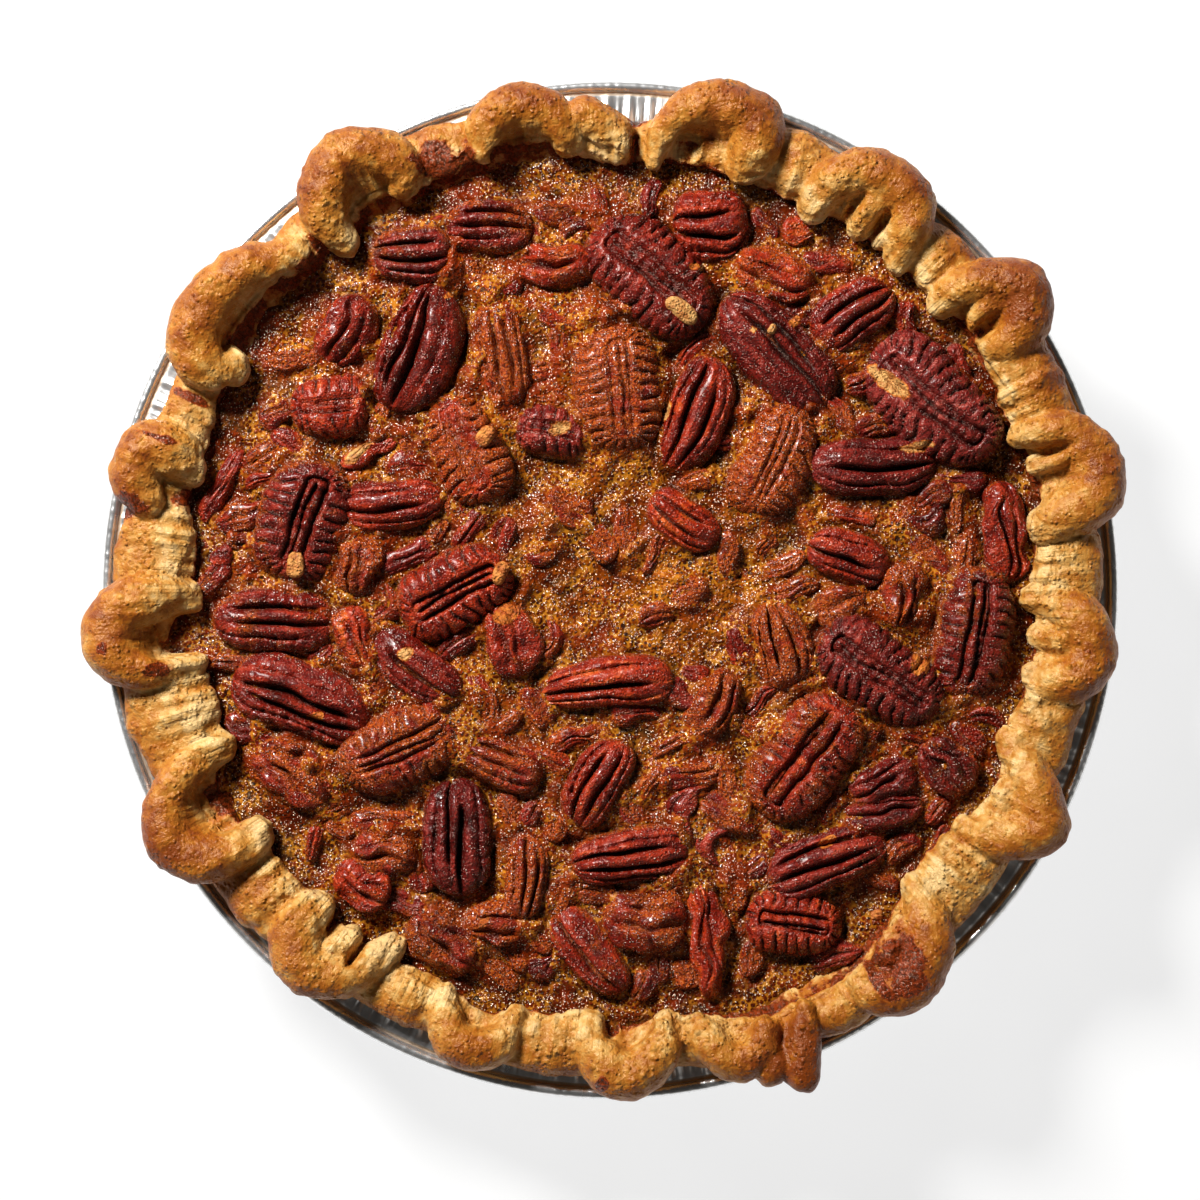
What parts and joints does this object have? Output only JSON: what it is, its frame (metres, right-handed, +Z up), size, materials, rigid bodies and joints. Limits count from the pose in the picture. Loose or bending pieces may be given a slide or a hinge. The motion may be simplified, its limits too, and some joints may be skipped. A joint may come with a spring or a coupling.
{
  "type": "pecan pie",
  "caption": "Whole open-faced pecan pie with a hand-crimped pastry rim and a nut-studded syrup filling, baked in its round foil pan.",
  "frame": {"origin": "centre of the pan's flat base, where it rests on the table", "axes": "+Z up out of the pie; +Y and +X lie in the plane of the base, with the widest fold of the crust near +X +Y and the narrow pinched fold towards -Y"},
  "size_m": [0.2485, 0.2445, 0.0515],
  "materials": {
    "foil": "bright thin foil, fluted",
    "pastry": "matte baked pastry, golden brown, flaky",
    "filling": "glossy baked syrup with fine bubbles",
    "pecan": "toasted nut with a thin syrup coat"
  },
  "bodies": {
    "root": {"crust": "pastry", "filling": "filling", "foil_pan": "foil", "pecan_lobed_01": "pecan", "pecan_lobed_02": "pecan", "pecan_lobed_03": "pecan", "pecan_lobed_04": "pecan", "pecan_lobed_05": "pecan", "pecan_lobed_06": "pecan", "pecan_lobed_07": "pecan", "pecan_lobed_08": "pecan", "pecan_lobed_09": "pecan", "pecan_lobed_10": "pecan", "pecan_lobed_11": "pecan", "pecan_lobed_12": "pecan", "pecan_piece_01": "pecan", "pecan_piece_02": "pecan", "pecan_piece_03": "pecan", "pecan_piece_04": "pecan", "pecan_piece_05": "pecan", "pecan_piece_06": "pecan", "pecan_piece_07": "pecan", "pecan_piece_08": "pecan", "pecan_piece_09": "pecan", "pecan_piece_10": "pecan", "pecan_piece_11": "pecan", "pecan_piece_12": "pecan", "pecan_piece_13": "pecan", "pecan_piece_14": "pecan", "pecan_piece_15": "pecan", "pecan_piece_16": "pecan", "pecan_piece_17": "pecan", "pecan_piece_18": "pecan", "pecan_piece_19": "pecan", "pecan_piece_20": "pecan", "pecan_piece_21": "pecan", "pecan_piece_22": "pecan", "pecan_piece_23": "pecan", "pecan_piece_24": "pecan", "pecan_piece_25": "pecan", "pecan_ridged_01": "pecan", "pecan_ridged_02": "pecan", "pecan_ridged_03": "pecan", "pecan_ridged_04": "pecan", "pecan_ridged_05": "pecan", "pecan_ridged_06": "pecan", "pecan_ridged_07": "pecan", "pecan_ridged_08": "pecan", "pecan_ridged_09": "pecan", "pecan_ridged_10": "pecan", "pecan_ridged_11": "pecan", "pecan_ridged_12": "pecan", "pecan_ridged_13": "pecan", "pecan_ridged_14": "pecan", "pecan_ridged_15": "pecan", "pecan_ridged_16": "pecan", "pecan_ridged_17": "pecan", "pecan_ridged_18": "pecan", "pecan_ridged_19": "pecan", "pecan_ridged_20": "pecan"}
  },
  "joints": []
}
